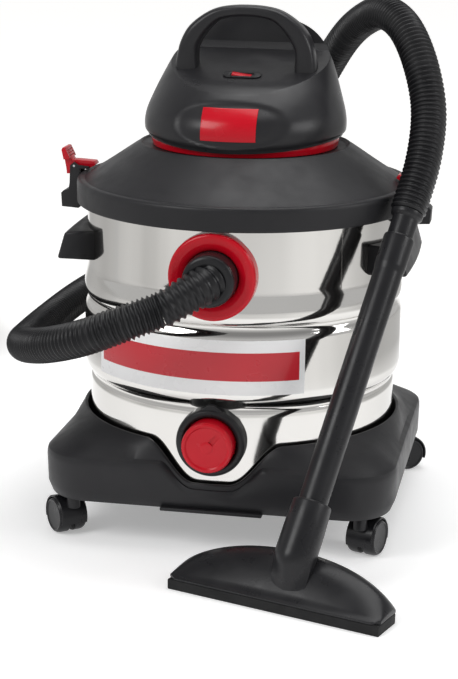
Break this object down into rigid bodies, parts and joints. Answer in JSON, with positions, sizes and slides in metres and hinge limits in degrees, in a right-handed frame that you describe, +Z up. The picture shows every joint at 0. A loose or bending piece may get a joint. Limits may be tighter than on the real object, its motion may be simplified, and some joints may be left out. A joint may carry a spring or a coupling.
{
  "type": "shop vacuum",
  "caption": "Wet and dry shop vacuum: polished steel drum on a caster dolly, latched lid with motor head, hose, wand and floor nozzle.",
  "frame": {"origin": "on the floor, on the tank's vertical axis", "axes": "+Z up; the front with the hose inlet and the drain faces -Y; +X to the right seen from the front"},
  "size_m": [0.4764, 0.6337, 0.5813],
  "materials": {
    "polished_steel": "mirror-polished stainless sheet, 0.5 to 1.5 mm",
    "charcoal_plastic": "lightly textured moulded plastic",
    "satin_black_plastic": "satin moulded plastic",
    "red_plastic": "glossy moulded plastic",
    "black_rubber": "soft rubber",
    "white_film": "smooth printed film, left plain",
    "zinc_steel": "zinc-plated steel",
    "alloy": "pressed aluminium",
    "lamination_iron": "varnished laminations and winding as one mass",
    "filter_paper": "pleated filter paper",
    "float_plastic": "plain moulded plastic"
  },
  "bodies": {
    "tank": {"tank_shell": "polished_steel", "tank_handle_left": "charcoal_plastic", "tank_handle_right": "charcoal_plastic", "inlet_flange": "red_plastic", "inlet_seal": "black_rubber", "inlet_deflector": "charcoal_plastic", "front_label": "white_film", "drain_spout": "satin_black_plastic", "drain_seal": "black_rubber", "dolly_base": "charcoal_plastic", "hose_connector": "satin_black_plastic", "hose_tube": "satin_black_plastic", "hose_cuff": "satin_black_plastic", "wand_tube": "satin_black_plastic", "floor_nozzle": "satin_black_plastic", "nozzle_strip": "black_rubber"},
    "head": {"lid_shell": "charcoal_plastic", "lid_seal": "black_rubber", "latch_bracket_left": "charcoal_plastic", "latch_pin_left": "zinc_steel", "latch_bracket_right": "charcoal_plastic", "latch_pin_right": "zinc_steel", "trim_ring": "red_plastic", "motor_cover": "charcoal_plastic", "carry_handle": "charcoal_plastic", "switch_bezel": "satin_black_plastic", "front_badge": "red_plastic", "exhaust_grille": "satin_black_plastic", "cord_gland": "black_rubber", "motor_plate": "zinc_steel", "fan_housing": "zinc_steel", "motor_stator": "lamination_iron", "bearing_top": "zinc_steel", "bearing_bottom": "zinc_steel", "filter_cage": "charcoal_plastic", "cartridge_filter": "filter_paper", "filter_retainer": "satin_black_plastic"},
    "latch_left": {"latch_lever_left": "red_plastic"},
    "latch_right": {"latch_lever_right": "red_plastic"},
    "rocker": {"switch_rocker": "red_plastic"},
    "rotor": {"motor_rotor": "lamination_iron", "fan_impeller": "alloy"},
    "float": {"filter_float": "float_plastic"},
    "drain_cap": {"drain_cap": "red_plastic"},
    "caster_front_left": {"caster_hood_front_left": "satin_black_plastic", "caster_stem_front_left": "zinc_steel"},
    "wheels_front_left": {"caster_wheel_inner_front_left": "satin_black_plastic", "caster_wheel_outer_front_left": "satin_black_plastic"},
    "caster_front_right": {"caster_hood_front_right": "satin_black_plastic", "caster_stem_front_right": "zinc_steel"},
    "wheels_front_right": {"caster_wheel_inner_front_right": "satin_black_plastic", "caster_wheel_outer_front_right": "satin_black_plastic"},
    "caster_rear_left": {"caster_hood_rear_left": "satin_black_plastic", "caster_stem_rear_left": "zinc_steel"},
    "wheels_rear_left": {"caster_wheel_inner_rear_left": "satin_black_plastic", "caster_wheel_outer_rear_left": "satin_black_plastic"},
    "caster_rear_right": {"caster_hood_rear_right": "satin_black_plastic", "caster_stem_rear_right": "zinc_steel"},
    "wheels_rear_right": {"caster_wheel_inner_rear_right": "satin_black_plastic", "caster_wheel_outer_rear_right": "satin_black_plastic"}
  },
  "joints": [
    {"name": "lid_lift", "type": "slide", "parent": "tank", "child": "head", "axis": [0, 0, 1], "range_m": [0, 0.035]},
    {"name": "latch_left_hinge", "type": "hinge", "parent": "head", "child": "latch_left", "pos_m": [-0.1955, 0, 0.3895], "axis": [0, -1, 0], "range_deg": [0, 55]},
    {"name": "latch_right_hinge", "type": "hinge", "parent": "head", "child": "latch_right", "pos_m": [0.1955, 0, 0.3895], "axis": [0, 1, 0], "range_deg": [0, 55]},
    {"name": "switch_tilt", "type": "hinge", "parent": "head", "child": "rocker", "pos_m": [0, -0.02474, 0.49942], "axis": [0, -0.9659, -0.2588], "range_deg": [0, 14]},
    {"name": "motor_spin", "type": "hinge", "parent": "head", "child": "rotor", "pos_m": [0, 0, 0.4587], "axis": [0, 0, 1], "continuous": true},
    {"name": "float_rise", "type": "slide", "parent": "head", "child": "float", "axis": [0, 0, 1], "range_m": [0, 0.134]},
    {"name": "drain_cap_turn", "type": "hinge", "parent": "tank", "child": "drain_cap", "pos_m": [0, -0.1789, 0.1285], "axis": [0, -1, 0], "range_deg": [0, 360]},
    {"name": "caster_swivel_front_left", "type": "hinge", "parent": "tank", "child": "caster_front_left", "pos_m": [-0.16, -0.155, 0.06], "axis": [0, 0, 1], "continuous": true},
    {"name": "wheel_spin_front_left", "type": "hinge", "parent": "caster_front_left", "child": "wheels_front_left", "pos_m": [-0.17181, -0.14142, 0.02], "axis": [-0.7547, -0.6561, 0], "continuous": true},
    {"name": "caster_swivel_front_right", "type": "hinge", "parent": "tank", "child": "caster_front_right", "pos_m": [0.16, -0.155, 0.06], "axis": [0, 0, 1], "continuous": true},
    {"name": "wheel_spin_front_right", "type": "hinge", "parent": "caster_front_right", "child": "wheels_front_right", "pos_m": [0.16556, -0.13788, 0.02], "axis": [-0.9511, 0.309, 0], "continuous": true},
    {"name": "caster_swivel_rear_left", "type": "hinge", "parent": "tank", "child": "caster_rear_left", "pos_m": [-0.16, 0.155, 0.06], "axis": [0, 0, 1], "continuous": true},
    {"name": "wheel_spin_rear_left", "type": "hinge", "parent": "caster_rear_left", "child": "wheels_rear_left", "pos_m": [-0.16313, 0.17273, 0.02], "axis": [-0.9848, -0.1736, 0], "continuous": true},
    {"name": "caster_swivel_rear_right", "type": "hinge", "parent": "tank", "child": "caster_rear_right", "pos_m": [0.16, 0.155, 0.06], "axis": [0, 0, 1], "continuous": true},
    {"name": "wheel_spin_rear_right", "type": "hinge", "parent": "caster_rear_right", "child": "wheels_rear_right", "pos_m": [0.17559, 0.164, 0.02], "axis": [-0.5, 0.866, 0], "continuous": true}
  ]
}
